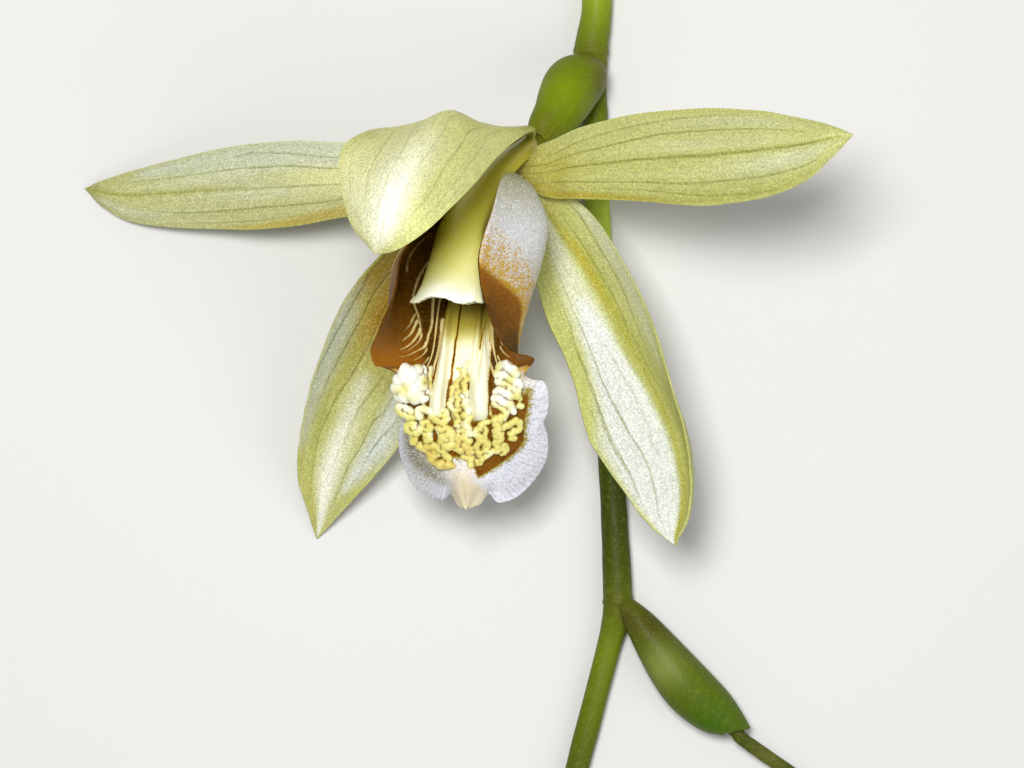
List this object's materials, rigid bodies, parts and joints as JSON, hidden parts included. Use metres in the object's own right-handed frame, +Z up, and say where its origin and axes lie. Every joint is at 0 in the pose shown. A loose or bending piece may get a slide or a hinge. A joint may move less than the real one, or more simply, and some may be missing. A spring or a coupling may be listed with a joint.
{
  "type": "coelogyne orchid flower",
  "caption": "Cut coelogyne orchid flower lying on its back: pale green-yellow sepals and petals, brown-walled lip with a warty yellow crest, hooded column, green stem with sheathing bracts.",
  "frame": {"origin": "on the resting surface, under the middle of the flower's outer box", "axes": "+Z up from the resting surface and out of the open flower's face; +Y along the cut stem, towards the end beyond the flower; +X towards the right petal"},
  "size_m": [0.0588, 0.071, 0.0318],
  "materials": {
    "tepal": "waxy fresh petal, fine sparkle, sunken parallel veins",
    "lip": "fresh petal, chestnut side lobes, white margin, yellow warty crest",
    "column": "smooth waxy flesh",
    "pollen": "waxy",
    "stem": "fine-speckled green skin",
    "bract": "glossy green sheath with a brown papery base"
  },
  "bodies": {
    "root": {"flower_stem": "stem", "upper_bract": "bract", "ovary_stalk": "stem", "dorsal_sepal": "tepal", "left_petal": "tepal", "right_petal": "tepal", "left_sepal": "tepal", "right_sepal": "tepal", "lip": "lip", "column": "column", "anther_cap": "column", "pollinarium": "pollen", "lower_bract": "bract", "lower_stalk": "stem"}
  },
  "joints": []
}
